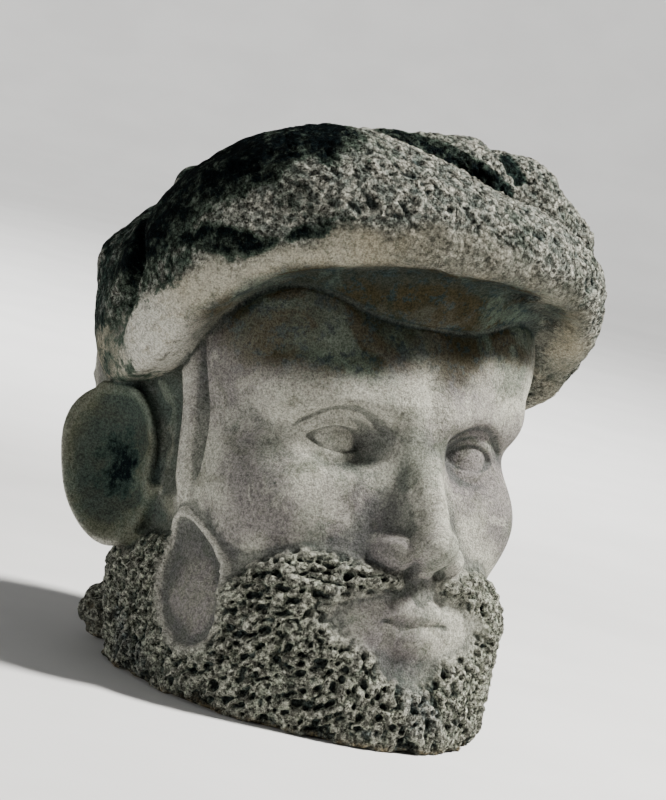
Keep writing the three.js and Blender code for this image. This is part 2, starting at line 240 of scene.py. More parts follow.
def across_drop(y, z):
    """Where a point lies on the flat drop: 0 in its middle and 1 on its rim."""
    dy, dz = y - DROP["y"], z - DROP["z"]
    u = dy * cos(DROP["lean"]) - dz * sin(DROP["lean"])
    v = dy * sin(DROP["lean"]) + dz * cos(DROP["lean"])
    return length(u / (DROP["half_width"] - 0.12 * v), v / DROP["half_height"])


def add_strap(shape, p):
    x, y, z = p
    along = ease(48, 58, np.abs(x)) * ease(-34, -22, z) * (1 - ease(30, 45, z))
    strap = STRAP["height"] * ease(5, 2.4, np.abs(y - STRAP["y"]))
    groove = 3 * ridge(y, STRAP["groove"], 1.4) * ease(-28, -10, z)
    hollow = 3.5 * ridge(y, STRAP["hollow"], 6)
    r = across_drop(y, z)
    tab = 1.6 * ease(1.12, 0.98, r) + 1.4 * ridge(r, 0.98, 0.07) - 0.9 * ease(0.96, 0.86, r)
    return shape - along * (strap - groove - hollow) - ease(40, 52, np.abs(x)) * tab


def bare_place(wide, z, place, start, end):
    """0 inside a bare place in the beard, and 1 outside it."""
    return ease(start, end, length(wide / place["half_width"], (z - place["z"]) / place["half_height"]))


def beard_cover(p):
    """Where the beard grows, from 0 to 1."""
    x, y, z = p
    wide = np.abs(x)
    turn = np.degrees(np.arctan2(wide, -(y - BEARD["axis"])))
    below = 1 - ease(-3.5, 3.5, z - through(turn, 0, 10, BEARD_LINE))
    lips = bare_place(wide, z, LIPS, 0.95, 1.6)
    below_lip = bare_place(wide, z, BELOW_LIP, 0.7, 1.4)
    below_nose = np.where(z > -62, ease(6, 12, wide + np.maximum(0, -58 - z) * 2), 1)
    drop = np.where(wide > 45, ease(0.9, 1.15, across_drop(y, z)), 1)
    return below * lips * below_lip * below_nose * drop


# The ear. Its forms are in its own frame: back, up and out. The helix and the undercut beside it are rods
# along its upper front edge, and the dish, hole and flap are ovals.
EAR = {
    "at": (80, -2, -21), "facing": (0.5, 0.866), "half_width": 21, "half_height": 32, "thick": 4,
    "mean_radius": 19, "square": 2.3,
}
HELIX = ((4, 29, 1, 3), (-10, 26, 3.5, 3.6), (-17, 13, 4, 3.4), (-17.5, 2, 2.5, 2.6))
UNDERCUT = ((3, 36, 1, 0.6), (-12, 33, 4.5, 0.6), (-21, 21, 5, 0.6), (-22, 8, 5, 0.6), (-21, -5, 4, 0.6))
EAR_DISH = ((-0.5, 1, 9.5), (18, 27, 9.5), 9)
EAR_HOLE = ((-10, -5, 1), (6.5, 10, 9), 6)
EAR_FLAP = ((-18, -4, 1), (5, 9, 5), 5)
EAR_ROOT = ((66, -3, -24), (12, 14, 23))
EAR_BED = ((64, -3, -24), (13, 16, 25))


def ear_frame(p):
    """A point in the ear's own frame, back, up and out, and how far it lies outside the ear's outline."""
    x, y, z = p
    dx, dy, dz = np.abs(x) - EAR["at"][0], y - EAR["at"][1], z - EAR["at"][2]
    back = dx * EAR["facing"][0] + dy * EAR["facing"][1]
    out = dx * EAR["facing"][1] - dy * EAR["facing"][0]
    up = dz + 0.1 * back
    u = back + 0.006 * np.maximum(0, -up - 4) ** 2
    width = EAR["half_width"] * np.maximum(1 + 0.24 * up / EAR["half_height"], 0.2)
    square = EAR["square"]
    size = (np.abs(u / width) ** square + np.abs(up / EAR["half_height"]) ** square) ** (1 / square)
    edge = (size - 1) * EAR["mean_radius"]
    w = out - 0.01 * (u + 6) ** 2 - 0.004 * up * up + 3
    return u, up, w, edge


def ear(p):
    u, up, w, edge = ear_frame(p)
    own = (u, up, w)
    shape = soft_min(soft_max(edge, np.abs(w) - EAR["thick"], 5), bent_rod(own, HELIX), 4)
    shape = soft_min(shape, ball(mirrored(p), *EAR_ROOT), 4)
    shape = soft_max(soft_max(shape, -oval(own, *EAR_DISH), 3), -oval(own, *EAR_HOLE), 2)
    return soft_min(shape, oval(own, *EAR_FLAP), 3)


# The cap: a thick roll around a low crown, whose sizes change around the head in steps of 15 degrees. The
# height of its top is given all the way round, from behind by way of the head's right.
CAP = {
    "middle": -15,
    "outer": (106, 107, 109, 111, 110, 105, 98, 93, 89, 84, 80, 78, 77),
    "bottom": (64, 64, 61, 54, 38, 19, 12, 12, 15, 20, 26, 30, 32),
    "thick": (27, 28, 30, 31, 32, 30, 26, 23, 21, 22, 24, 26, 28),
    "top": (72, 73, 76, 79, 81, 81, 83, 96, 107, 113.5, 115.5, 111, 105,
            100, 97, 93, 87, 80, 75, 72, 72, 72, 72, 72, 72),
    "lift": 7,
    "step": 15,
}
CROWN = ((0, -24, 66), (80, 76, 44))
FOLD_SWELL = ((-83, 3, 57), (10, 13, 13))     # a fuller place on the fold behind the roll's near end
STRANDS = (
    ((-38, 22, 92, 14), (-26, -20, 98, 15), (0, -46, 107, 16), (32, -54, 109, 16), (60, -56, 104, 16),
     (82, -54, 88, 15), (92, -45, 68, 13)),
    ((30, 30, 88, 14), (52, 4, 94, 15), (72, -14, 88, 15), (86, -24, 72, 13)),
)
FOLD_VALLEY = ((-98, -14, 6, 4), (-101, -18, 29, 6), (-100, -27, 42, 6), (-96, -34, 56, 6), (-86, -22, 76, 7),
               (-70, -2, 92, 7), (-45, 22, 110, 6))
VALLEYS = (
    ((-50, -46, 120, 4), (-21, -70, 115, 7), (-2, -77, 107, 9), (25, -76, 102, 8), (44, -75, 97, 4),
     (70, -71, 90, 2)),
    ((43, -54, 129, 3), (42, -69, 121, 5), (48, -77, 109, 5), (60, -80, 99, 3)),
    ((-10, 8, 122, 5), (28, -22, 120, 6), (62, -32, 112, 6), (88, -32, 92, 5), (102, -28, 64, 4)),
    FOLD_VALLEY,
    ((100, -10, 4, 5), (101, -12, 30, 6), (97, -18, 55, 7)),
)


def around_cap(p):
    """The turn about the cap's axis in degrees, 0 at the front, and the distance from the axis."""
    x, y, _ = p
    return np.degrees(np.arctan2(x, -(y - CAP["middle"]))), length(x, y - CAP["middle"])


def rim_height(turn):
    """The height of the roll's lower edge, which is a little higher on the head's left."""
    left = CAP["lift"] * ease(45, 80, turn) * ease(155, 120, turn)
    return through(np.abs(turn), 0, CAP["step"], CAP["bottom"]) + left


def cap(p):
    z = p[2]
    turn, reach = around_cap(p)
    outer, thick = (through(np.abs(turn), 0, CAP["step"], CAP[size]) for size in ("outer", "thick"))
    bottom, top = rim_height(turn), through(turn, -180, CAP["step"], CAP["top"])
    low = bottom - 9
    middle, half = (low + top) / 2, (top - low) / 2
    a, b = (reach - outer + thick) / thick, (z - middle) / half
    size = length(a, b)
    roll = size * (size - 1) / np.maximum(length(a / thick, b / half), 1e-9)
    underside = (bottom - z) * 0.9 - (reach - outer + 12) * 0.1
    shape = soft_min(soft_max(roll, underside, 2.5), ball(p, *CROWN), 12)
    shape = soft_min(shape, ball(p, *FOLD_SWELL), 6)
    for strand in STRANDS:
        shape = soft_min(shape, bent_rod(p, strand), 8)
    for valley in VALLEYS:
        shape = soft_max(shape, -bent_rod(p, valley), 6)
    return shape


# Where the stone has split away behind, and the stump of the neck below the split
BACK_AT = 52
STUMP = ((-3, 47, -78), (51, 16, 15))


def split_behind(p):
    x, y, z = p
    return y - BACK_AT - 1.6 * np.sin(x / 13 + z / 31) - 1.4 * np.sin(z / 11 - x / 27)


def stone(p):
    """The whole carving, as one form."""
    shape = soft_min(face(p), beard_block(p), 10)
    shape = soft_min(shape, ball(p, *STUMP), 6)
    shape = soft_min(shape, ball(mirrored(p), *EAR_BED), 9)
    shape = add_strap(shape, p) - BEARD["relief"] * beard_cover(p)
    shape = soft_min(soft_min(shape, ear(p), 2), cap(p), 1.5)
    return soft_max(shape, split_behind(p), 3)


# Noise, worked out from whole-number cells so that it is the same on every run. A seed is any number, and
# each use has its own.
def scatter(cells, seed):
    """A number from 0 to 1 for each cell."""
    mixed = cells[:, 0] * 374761393 + cells[:, 1] * 668265263 + cells[:, 2] * 1103515245 + seed * 40503
    mixed = (mixed & 0xFFFFFFFF).astype(np.uint64)
    mixed = ((mixed ^ (mixed >> np.uint64(13))) * np.uint64(1274126177)) & np.uint64(0xFFFFFFFF)
    return ((mixed ^ (mixed >> np.uint64(16))) & np.uint64(0xFFFF)).astype(float) / 65535


def lumps(points, size, seed):
    """Smooth noise from -1 to 1 with lumps about size across."""
    scaled = points / size
    cells = np.floor(scaled).astype(np.int64)
    part = scaled - cells
    part = part * part * (3 - 2 * part)
    total = np.zeros(len(points))
    for corner in np.ndindex(2, 2, 2):
        weight = np.prod(np.where(corner, part, 1 - part), axis=1)
        total += weight * scatter(cells + np.array(corner), seed)
    return 2 * total - 1


def lumps_3d(points, size, seed):
    """Three noises side by side, to bend a pattern with."""
    return np.stack([lumps(points, size, seed + n) for n in range(3)], axis=1)


# Where the roll starts to be weathered, above its rim, in steps of 15 degrees from the front to either side
WEATHERED_RIGHT = (6, 6, 5, 7, 12, 17, 12, 8, 8, 8, 8, 8, 8)
WEATHERED_LEFT = (3, -1, -4, -5, -5, -4, 4, 8, 8, 8, 8, 8, 8)
PALE_BULGE = (-93, -40, 25)     # the near end of the roll, which gets painted light


def weathered_share(points, turn, above):
    """How far the cap is weathered: fully above a ragged line, and by half on the roll's front and left."""
    right, left = (through(side, 0, CAP["step"], line)
                   for side, line in ((-turn, WEATHERED_RIGHT), (turn, WEATHERED_LEFT)))
    start = np.where(turn < 0, right, left)
    ragged = 7 * lumps(points, 19, 61) + 3 * lumps(points, 8, 62)
    grainy = 0.5 * ease(-30, -8, turn) * ease(110, 80, turn) * ease(-3, 4, above + 0.3 * ragged)
    return np.maximum(ease(start, start + 10, above + ragged), grainy)


def masks_of(points, normals):
    """Each kind of surface from 0 to 1, and each point's turn about the cap and height above its rim."""
    p = points.T
    x, y, z = p
    cap_shape, head_shape, ear_shape = cap(p), soft_min(face(p), beard_block(p), 10), ear(p)
    over_head = cap_shape - soft_min(head_shape, ear_shape, 2)
    cap_here = ease(0.9, -0.9, over_head)
    ear_here = ease(2.0, -1.0, ear_shape - head_shape + 3 * beard_cover(p)) * (1 - cap_here)
    split = ease(-6, -1.5, split_behind(p)) * ease(0.2, 0.6, normals[:, 1])
    stump = ease(4, 0, ball(p, *STUMP)) * ease(22, 34, y) * (1 - cap_here)
    broken = np.maximum(split, stump)
    turn, _ = around_cap(p)
    above = z - rim_height(turn)
    on_side = ease(45, 52, np.abs(x)) * (1 - cap_here) * (1 - ear_here)
    strap = 0.45 * ease(6, 3, np.abs(y - STRAP["y"])) * ease(-40, -28, z)
    rims = np.maximum(ridge(across_drop(y, z), 1.0, 0.1), strap)
    bulge = cap_here * ease(30, 8, length(x - PALE_BULGE[0], y - PALE_BULGE[1], 0.8 * (z - PALE_BULGE[2])))
    u, up, w, edge = ear_frame(p)
    ear_rim = ear_here * ease(-2.2, -0.6, edge) * ease(4, -8, up - 0.6 * u) * ease(-6, 2, u)
    return {
        "cap": cap_here,
        "ear": ear_here,
        "broken": broken,
        "beard": beard_cover(p) * (1 - cap_here) * (1 - ear_here) * (1 - broken),
        "weathered": cap_here * weathered_share(points, turn, above),
        "drop": ease(0.98, 0.9, across_drop(y, z)) * on_side,
        # Painted light on the strap, the drop's rim, the near end of the roll and the ear's rim
        "pale": np.maximum.reduce([rims * on_side, bulge, ear_rim]) * (1 - broken),
        "beside_ear": on_side * ease(-36, -31, y) * ease(40, 20, y) * ease(-60, -46, z) * (1 - broken),
        "undercut": ease(4.2, 1.0, bent_rod((u, up, w), UNDERCUT)) * (1 - cap_here),
        "crease": ease(1.8, 0.2, np.abs(over_head)) * (1 - broken) * (0.3 + 0.7 * ridge(turn, -58, 16)),
        "above": above,
        "turn": turn,
    }


# The fine relief, in the design's millimetres. The locks lie on the beard as on a sheet wrapped round it, and
# the streaks of the weather slant round the roll and are drawn out along their length.
WRAP_RADIUS = 72
ROLL_RADIUS = 95
SLANT = (0.77, 0.63)
DRAWN_OUT = 1.7
LOCK = {"spacing": 4.0, "length": 4.1, "width": 2.0, "height": 2.2, "hole": 1.2, "hole_depth": 2.7}
SEAM_DEPTH = 1.3
UNDERCUT_DEPTH = 3.2


def lock_lean(around, z):
    """How far from straight down a lock leans outwards: little at the chin, and most beside the mouth."""
    far = np.abs(around)
    lean = radians(6) + radians(50) * ease(8, 34, far) - radians(22) * ease(60, 100, far)
    lean += (radians(76) - lean) * ease(-70, -58, z) * ease(50, 36, far)
    return np.sign(around) * lean


def locks(points):
    """Short carved locks that overlap, and the drill holes beside their ends."""
    x, y, z = points.T
    sheet = np.stack([np.arctan2(x, -(y - BEARD["axis"])) * WRAP_RADIUS, z], axis=1)
    sheet += 0.9 * np.stack([lumps(points, 7, 71), lumps(points, 7, 72)], axis=1)
    sheet += 0.55 * np.stack([lumps(points, 2.6, 75), lumps(points, 2.6, 76)], axis=1)
    cells = np.floor(sheet / LOCK["spacing"]).astype(np.int64)
    height = np.zeros(len(points))
    depth = np.zeros(len(points))
    for step in np.ndindex(5, 5):
        own = np.column_stack([cells + np.array(step) - 2, np.zeros(len(cells), np.int64)])
        chance = [scatter(own, 101 + n) for n in range(6)]
        middle = (own[:, :2] + 0.15 + 0.7 * np.stack(chance[:2], axis=1)) * LOCK["spacing"]
        lean = lock_lean(middle[:, 0], middle[:, 1]) + 0.7 * (chance[2] - 0.5)
        off = sheet - middle
        along = off[:, 0] * np.sin(lean) - off[:, 1] * np.cos(lean)
        aside = off[:, 0] * np.cos(lean) + off[:, 1] * np.sin(lean)
        aside = aside - 0.12 * (chance[3] - 0.5) * along ** 2
        size = (along / LOCK["length"]) ** 2 + (aside / LOCK["width"]) ** 2
        height = np.maximum(height, np.sqrt(np.maximum(1 - size, 0)) * (0.62 + 0.5 * chance[4]))
        side = np.where(chance[3] > 0.5, 1.3, -1.3)
        reach = length((along - 3) / 1.4, aside - side) / (LOCK["hole"] * (0.45 + 0.85 * chance[4]))
        depth = np.maximum(depth, ease(1.25, 0.55, reach) * (chance[5] > 0.3) * (0.5 + 0.6 * chance[5]))
    skin = 0.45 * crags(points, 2.6, 77) + 0.9 * lumps(points, 11, 78) + 0.5 * lumps(points, 4.5, 79)
    return LOCK["height"] * (height - 0.55) - LOCK["hole_depth"] * depth + skin


def crags(points, size, seed):
    """Sharp crests around rounded hollows, up to 1."""
    return 1 - 2.6 * np.abs(lumps(points, size, seed))


def erosion(points):
    """Pumice-like hollows."""
    bent = points + 1.6 * lumps_3d(points, 5, 81)
    rough = 0.4 * crags(bent, 7.5, 84) + 0.45 * crags(bent, 3.4, 85) + 0.55 * crags(points, 2.0, 86)
    return rough + 1.1 * lumps(points, 14, 87) - 0.4


def wind_worn(points):
    """Erosion drawn out in slanting streaks round the roll, and even on the crown."""
    turn, reach = around_cap(points.T)
    arc, z = np.radians(turn) * ROLL_RADIUS, points[:, 2]
    flat, steep = SLANT
    streaks = np.stack([(flat * arc - steep * z) / DRAWN_OUT, steep * arc + flat * z, reach], axis=1)
    crown = ease(62, 42, reach)
    return crown * erosion(points) + (1 - crown) * erosion(streaks)


def split_roughness(points):
    flakes = 1.8 * crags(points * (1, 1, 1.6), 26, 94) + 0.9 * crags(points * (1.5, 1, 1), 10, 95)
    return flakes + 1.2 * lumps(points, 15, 91) + 0.8 * lumps(points, 6, 92) + 0.5 * lumps(points, 2.8, 93)


def worked_only(mask, points, form):
    """The form where its mask is above 0, and 0 elsewhere."""
    height = np.zeros(len(points))
    here = mask > 0.001
    height[here] = mask[here] * form(points[here])
    return height


def relief(points, normals):
    """How far the finished surface stands out from the forms: slow waves, and each kind of surface's own."""
    masks = masks_of(points, normals)
    height = 0.45 * lumps(points, 26, 51) + 0.18 * lumps(points, 11, 52)
    height += 0.35 * masks["cap"] * lumps(points, 5, 53)
    height += worked_only(masks["beard"], points, locks)
    worn = 0.3 + 0.7 * ease(-58, -24, masks["turn"])
    height += worked_only(masks["weathered"] * np.where(masks["turn"] < 0, worn, 1), points, wind_worn)
    height += worked_only(masks["broken"], points, split_roughness)
    return height - SEAM_DEPTH * masks["crease"] - UNDERCUT_DEPTH * masks["undercut"]


# Chips out of the edge of the break: (turn about the middle in degrees, height, radius)
CHIPS = tuple((step * 22.5 + 9 * sin(step * 2.1), 1.5 * cos(step * 1.7), 5.5 + 3 * sin(step * 1.3) ** 2)
              for step in range(16))
CHIP_DEPTH = 3.4
RAGGED_DEPTH = 3.6


def chip_edge(points):
    """How deep chips and a ragged line cut in around the lower edge."""
    part = to_part(points) * 1000 / OVER_LIFE
    turn = np.degrees(np.arctan2(part[:, 0], -part[:, 1]))
    depth = np.zeros(len(points))
    for at, height, radius in CHIPS:
        off = (turn - at + 180) % 360 - 180
        reach = length(off * 1.25, part[:, 2] - height)
        depth = np.maximum(depth, CHIP_DEPTH * ease(radius, radius * 0.3, reach + 1.4 * lumps(points, 3, 96)))
    return depth + RAGGED_DEPTH * ease(0.0, 0.6, lumps(points, 7, 97)) * ease(9, 1, part[:, 2])


# Making the stone's mesh
MERGE_WITHIN = 1e-6
UNDERSIDE = 0.0006                # points lower than this lie on the level break
EDGE_HEIGHT = 0.006               # up to here the relief comes in gradually
RAGGED_RIM = 4                    # how far in from its edge the break is lifted by chips, in millimetres
PROBE = 0.4                       # how far out the slope of the forms is felt, in millimetres
PROBE_CORNERS = np.array(((1, -1, -1), (-1, -1, 1), (-1, 1, -1), (1, 1, 1)))
LEAST_STEEP = 0.15
SMOOTHING_ROUNDS = 12
FULL_HOLLOW = 0.0011              # a hollow this deep, in metres, counts as 1


def mesh_values(mesh, name):
    """The points or the normals of the mesh, a row each."""
    flat = np.empty(len(mesh.vertices) * 3)
    mesh.vertices.foreach_get(name, flat)
    return flat.reshape(-1, 3)


def set_points(mesh, points):
    mesh.vertices.foreach_set("co", np.ascontiguousarray(points).ravel())
    mesh.update()


def finish_modifier(piece, kind, **settings):
    """Adds a modifier and makes its result the piece's own mesh."""
    modifier = piece.modifiers.new(kind.lower(), kind)
    for name, value in settings.items():
        setattr(modifier, name, value)
    done = bpy.data.meshes.new_from_object(piece.evaluated_get(bpy.context.evaluated_depsgraph_get()))
    piece.modifiers.clear()
    old = piece.data
    piece.data = done
    bpy.data.meshes.remove(old)


def merged_copy(node, name):
    """A copy of a node's mesh in which the triangles share their corners."""
    work = bmesh.new()
    work.from_mesh(node.data)
    bmesh.ops.remove_doubles(work, verts=work.verts, dist=MERGE_WITHIN)
    mesh = bpy.data.meshes.new(name)
    work.to_mesh(mesh)
    work.free()
    piece = bpy.data.objects.new(name, mesh)
    bpy.context.scene.collection.objects.link(piece)
    return piece


def draw_onto_forms(piece, moves, most):
    """Moves each point along the way to the carved surface, but keeps the break level."""
    points = mesh_values(piece.data, "co")
    level = points[:, 2] < UNDERSIDE
    design = to_design(points)
    for _ in range(moves):
        here = design[~level]
        sides = [stone((here + PROBE * corner).T) for corner in PROBE_CORNERS]
        slope = sum(side[:, None] * corner for side, corner in zip(sides, PROBE_CORNERS)) / (4 * PROBE)
        steep = np.maximum(np.sum(slope * slope, axis=1), LEAST_STEEP)
        move = -(sum(sides) / 4 / steep)[:, None] * slope
        far = np.linalg.norm(move, axis=1)
        move *= (np.minimum(far, most) / np.maximum(far, 1e-9))[:, None]
        design[~level] = here + move
    moved = to_part(design)
    moved[:, 2] = np.maximum(moved[:, 2], 0)
    moved[level] = points[level]
    set_points(piece.data, moved)


def work_relief(piece):
    """Works the fine relief into the surface. The break stays level, apart from chips along its edge."""
    points, normals = mesh_values(piece.data, "co"), mesh_values(piece.data, "normal")
    design = to_design(points)
    height = relief(design, normals @ TURN)
    height -= chip_edge(design) * ease(-0.92, -0.6, normals[:, 2])
    side = ease(0.0, EDGE_HEIGHT, points[:, 2])
    on_break = (points[:, 2] < UNDERSIDE) & (normals[:, 2] < -0.7)
    height = np.where(on_break, 0, height * (0.35 + 0.65 * side))
    moved = points + normals * (height * MILLIMETRE)[:, None]
    rim = on_break & (stone(design.T) > -RAGGED_RIM)
    moved[rim, 2] += chip_edge(design[rim]) * MILLIMETRE * ease(-RAGGED_RIM, -0.3, stone(design[rim].T))
    moved[:, 2] = np.maximum(moved[:, 2], 0)
    set_points(piece.data, moved)


def hollows(mesh):
    """How far each point lies below the smoothed surface, from -1 on crests to 1 in hollows."""
    points, normals = mesh_values(mesh, "co"), mesh_values(mesh, "normal")
    ends = np.empty(len(mesh.edges) * 2, dtype=np.int64)
    mesh.edges.foreach_get("vertices", ends)
    one, other = ends.reshape(-1, 2).T
    count = len(points)
    spokes = np.maximum(np.bincount(one, minlength=count) + np.bincount(other, minlength=count), 1)
    smooth = points.copy()
    for _ in range(SMOOTHING_ROUNDS):
        for axis in range(3):
            total = np.bincount(one, smooth[other, axis], count)
            total = total + np.bincount(other, smooth[one, axis], count)
            smooth[:, axis] = total / spokes
    return np.clip(np.sum((smooth - points) * normals, axis=1) / FULL_HOLLOW, -1, 1)


# Where growth has settled: the height above the rim of a streak, in steps of 9 degrees, and of the black top,
# and lines along the walls of the two valleys in the front of the cap, with growth and painted shade there
STREAK = (38, 33, 23.5, 14, 13, 18, 24)
ALGAE_FROM = 37
DARK_LINES = (
    ((-14, -47, 121, 4), (2, -56, 119.5, 5), (13, -63, 115.5, 5.5), (27, -69, 109.5, 5), (42, -71, 105, 3)),
    ((47, -61, 121, 3), (45, -65, 116, 4), (49, -68, 111, 3)),
)
EAR_SHADE = (-5, -19)     # the middle of the painted shade in the ear's hollow, back and up


def cap_growth_and_fold_shade(masks, points):
    """Black-green growth on the cap, over the right of its top and along a streak, and growth with painted
    shade in its folds and along the valley walls.
    """
    turn, above = masks["turn"], masks["above"]
    wander = 7 * lumps(points, 20, 31) + 5 * lumps(points, 9, 32) + 2.5 * lumps(points, 4, 33)
    cover = ease(-9, 13, above - ALGAE_FROM + wander) * ease(-20, -38, turn + 0.6 * wander)
    cover *= ease(-112, -80, turn + 1.4 * wander) * (0.86 + 0.2 * lumps(points, 8, 35))
    line = through(turn, -75, 9, STREAK)
    thick = 1.5 + 4 * ridge(turn, -56, 9)
    streak = ease(thick + 3, thick - 2, np.abs(above - line) + 0.3 * wander) * ease(-76, -66, turn)
    streak *= ease(-24, -40, turn)
    p = points.T
    # Growth with painted shade in the fold behind the roll's near end
    fold = ease(6, 0, bent_rod(p, FOLD_VALLEY) - 1 + 0.25 * wander) * (0.45 + 0.55 * ease(34, 60, p[2]))
    behind = 0.4 + 0.16 * lumps(points, 13, 34)
    behind = behind * ease(-76, -84, turn + 0.3 * wander) * ease(-178, -140, turn)
    shoulder = 0.5 * ease(12, 26, above + 0.7 * wander) * ease(-50, -60, turn + 0.4 * wander)
    # Growth with painted shade along the walls of the valleys
    valleys = 0.74 * ease(3, -1.5, np.minimum(*(bent_rod(p, line) for line in DARK_LINES)) + 0.2 * wander)
    grown = np.maximum.reduce([cover, 0.8 * streak, 0.85 * fold, behind, shoulder, valleys])
    return masks["cap"] * np.clip(grown, 0, 1)


def paint_masks(piece):
    """Writes where each kind of surface is, for the material, and gives the names of what it wrote."""
    mesh = piece.data
    points, normals = mesh_values(mesh, "co"), mesh_values(mesh, "normal")
    design = to_design(points)
    masks = masks_of(design, normals @ TURN)
    _, y, z = design.T
    turn = masks["turn"]
    wander = lumps(design, 15, 41) + 0.5 * lumps(design, 6, 42)
    # Painted shadow of the cap on the forehead, and painted shade under the roll, both mixed with dirt
    cap_shadow_on_forehead = ease(10, 30, z + 6 * wander - 0.3 * np.maximum(turn + 15, 0)) * ease(-45, -62, y)
    # Painted shade under the roll, less on the head's left, where the underside is lit
    shade_beneath_roll = masks["cap"] * ease(3.5, -1, masks["above"] + 1.5 * wander) * (1 - 0.8 * ease(32, 52, turn))
    # Painted shade in the ear's hollow, laid in with the growth
    in_ear = ease(16, 2, length(y - EAR_SHADE[0], 0.7 * (z - EAR_SHADE[1])) + 3 * wander) * masks["ear"]
    painted = {
        "beard": masks["beard"],
        "cap": masks["cap"],
        "weathered": masks["weathered"],
        "growth_with_painted_shade": np.maximum(cap_growth_and_fold_shade(masks, design), 0.86 * in_ear),
        "broken": np.maximum(masks["broken"], ease(0.004, 0.001, points[:, 2])),
        "ear": np.maximum(masks["ear"], 0.8 * masks["beside_ear"]),
        "drop": masks["drop"],
        "pale": masks["pale"],
        "dirt_and_painted_shade_below_cap": np.maximum(cap_shadow_on_forehead * (1 - masks["cap"]), shade_beneath_roll),
        # Painted shade in the seam under the cap's near end and in the ear's undercut
        "crease": np.maximum(masks["crease"], masks["undercut"]),
        "hollow": hollows(mesh),
    }
    for name, values in painted.items():
        layer = mesh.attributes.new(name, "FLOAT", "POINT")
        layer.data.foreach_set("value", np.asarray(values, dtype=np.float32))
    return tuple(painted)


def make_stone():
    piece = merged_copy(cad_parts["carved_head"], "head_stone")
    for fineness, moves, most in ROUNDS:
        finish_modifier(piece, "REMESH", mode="VOXEL", voxel_size=fineness)
        draw_onto_forms(piece, moves, most)
    work_relief(piece)
    triangles = sum(len(face.vertices) - 2 for face in piece.data.polygons)
    if triangles > MOST_TRIANGLES:
        finish_modifier(piece, "DECIMATE", ratio=MOST_TRIANGLES / triangles)
    piece.data.polygons.foreach_set("use_smooth", [True] * len(piece.data.polygons))
    masks = paint_masks(piece)
    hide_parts("carved_head")
    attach(piece, "root")
    piece.data.materials.clear()
    piece.data.materials.append(stone_material(masks))


# Materials
class Shades:
    """Short ways to make the nodes of one material."""

    def __init__(self, name):
        self.material = bpy.data.materials.new(name)
        self.material.use_nodes = True
        self.nodes = self.material.node_tree.nodes
        self.links = self.material.node_tree.links
        self.nodes.clear()
        self.place = self.nodes.new("ShaderNodeTexCoord").outputs["Object"]

    def set(self, socket, value):
        if isinstance(value, bpy.types.NodeSocket):
            self.links.new(value, socket)
        elif isinstance(value, tuple) and socket.type == "RGBA":
            socket.default_value = (*value, 1)
        else:
            socket.default_value = value

    def made(self, name):
        """A mask that the mesh carries."""
        node = self.nodes.new("ShaderNodeAttribute")
        node.attribute_name = name
        return node.outputs["Fac"]

    def noise(self, scale, detail, rough, twist):
        node = self.nodes.new("ShaderNodeTexNoise")
        self.set(node.inputs["Vector"], self.place)
        self.set(node.inputs["Scale"], scale)
        self.set(node.inputs["Detail"], detail)
        self.set(node.inputs["Roughness"], rough)
        self.set(node.inputs["Distortion"], twist)
        return node.outputs["Fac"]

    def math(self, operation, a, b):
        node = self.nodes.new("ShaderNodeMath")
        node.operation = operation
        self.set(node.inputs[0], a)
        self.set(node.inputs[1], b)
        return node.outputs[0]

    def both(self, a, b):
        return self.math("MULTIPLY", a, b)

    def swing(self, noise, reach):
        """A noise about 0, as wide as reach."""
        return self.both(self.math("SUBTRACT", noise, 0.5), reach)

    def share(self, least, mask, more):
        """At least one share everywhere, and more where the mask is."""
        return self.math("ADD", least, self.both(mask, more))

    def most(self, *values):
        total = values[0]
        for value in values[1:]:
            total = self.math("MAXIMUM", total, value)
        return total

    def distance(self, place):
        node = self.nodes.new("ShaderNodeVectorMath")
        node.operation = "DISTANCE"
        self.set(node.inputs[0], self.place)
        node.inputs[1].default_value = place
        return node.outputs["Value"]

    def between(self, value, low, high):
        """0 at low and 1 at high, with a smooth change between. Low may be the larger of the two."""
        node = self.nodes.new("ShaderNodeMapRange")
        node.interpolation_type = "SMOOTHSTEP"
        self.set(node.inputs["Value"], value)
        node.inputs["From Min"].default_value = low
        node.inputs["From Max"].default_value = high
        return node.outputs["Result"]

    def mix(self, share, a, b):
        node = self.nodes.new("ShaderNodeMix")
        node.data_type = "RGBA"
        self.set(node.inputs["Factor"], share)
        self.set(node.inputs["A"], a)
        self.set(node.inputs["B"], b)
        return node.outputs["Result"]

    def layered(self, colour, layers):
        """Lays colours over one another, each where a value lies between two limits, by a share."""
        for value, low, high, share, over in layers:
            colour = self.mix(self.both(self.between(value, low, high), share), colour, over)
        return colour

    def times(self, colour, factor):
        """The colour made darker or lighter by a plain factor."""
        node = self.nodes.new("ShaderNodeMix")
        node.data_type = "RGBA"
        node.blend_type = "MULTIPLY"
        node.inputs["Factor"].default_value = 1
        self.set(node.inputs["A"], colour)
        self.set(node.inputs["B"], (factor, factor, factor))
        return node.outputs["Result"]

    def bump(self, height, distance, strength, normal=None):
        node = self.nodes.new("ShaderNodeBump")
        self.set(node.inputs["Height"], height)
        node.inputs["Distance"].default_value = distance
        node.inputs["Strength"].default_value = strength
        if normal is not None:
            self.set(node.inputs["Normal"], normal)
        return node.outputs["Normal"]

    def surface(self, sockets):
        shader = self.nodes.new("ShaderNodeBsdfPrincipled")
        for name, value in sockets.items():
            self.set(shader.inputs[name], value)
        output = self.nodes.new("ShaderNodeOutputMaterial")
        self.links.new(shader.outputs["BSDF"], output.inputs["Surface"])


# The stone's own colours, what has settled on it, painted shade and painted light, the fresh break behind,
# and a rust spot on the second fold
PALE_STONE = (0.365, 0.357, 0.30)
WARM_STONE = (0.275, 0.247, 0.175)
